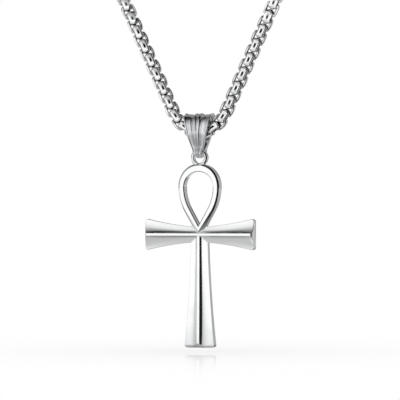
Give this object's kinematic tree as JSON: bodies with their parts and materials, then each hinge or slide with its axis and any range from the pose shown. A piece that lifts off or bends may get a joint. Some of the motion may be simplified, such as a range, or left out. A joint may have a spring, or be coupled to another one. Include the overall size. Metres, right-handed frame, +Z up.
{
  "type": "ankh pendant necklace",
  "caption": "Ankh pendant with an open eye and a ring, hanging from a fluted bail on a closed round box chain.",
  "frame": {"origin": "middle of the loop that goes round the neck, at the height of the nape", "axes": "+Z up, -Y the way the front of the pendant faces, +X towards the right of the pendant as seen from its front"},
  "size_m": [0.1302, 0.0814, 0.1829],
  "materials": {
    "ankh_steel": "polished stainless steel",
    "bail_steel": "satin stainless steel",
    "chain_steel": "polished stainless steel",
    "clasp_steel": "polished stainless steel"
  },
  "bodies": {
    "chain": {"chain": "chain_steel", "clasp": "clasp_steel"},
    "bail": {"bail": "bail_steel"},
    "ankh": {"ankh": "ankh_steel"}
  },
  "joints": [
    {"name": "bail_swing", "type": "hinge", "parent": "chain", "child": "bail", "pos_m": [0, -0.014, -0.12551], "axis": [1, 0, 0], "range_deg": [-25, 25]},
    {"name": "ankh_swing", "type": "hinge", "parent": "bail", "child": "ankh", "pos_m": [0, -0.014, -0.13273], "axis": [0, 1, 0], "range_deg": [-45, 45]}
  ]
}
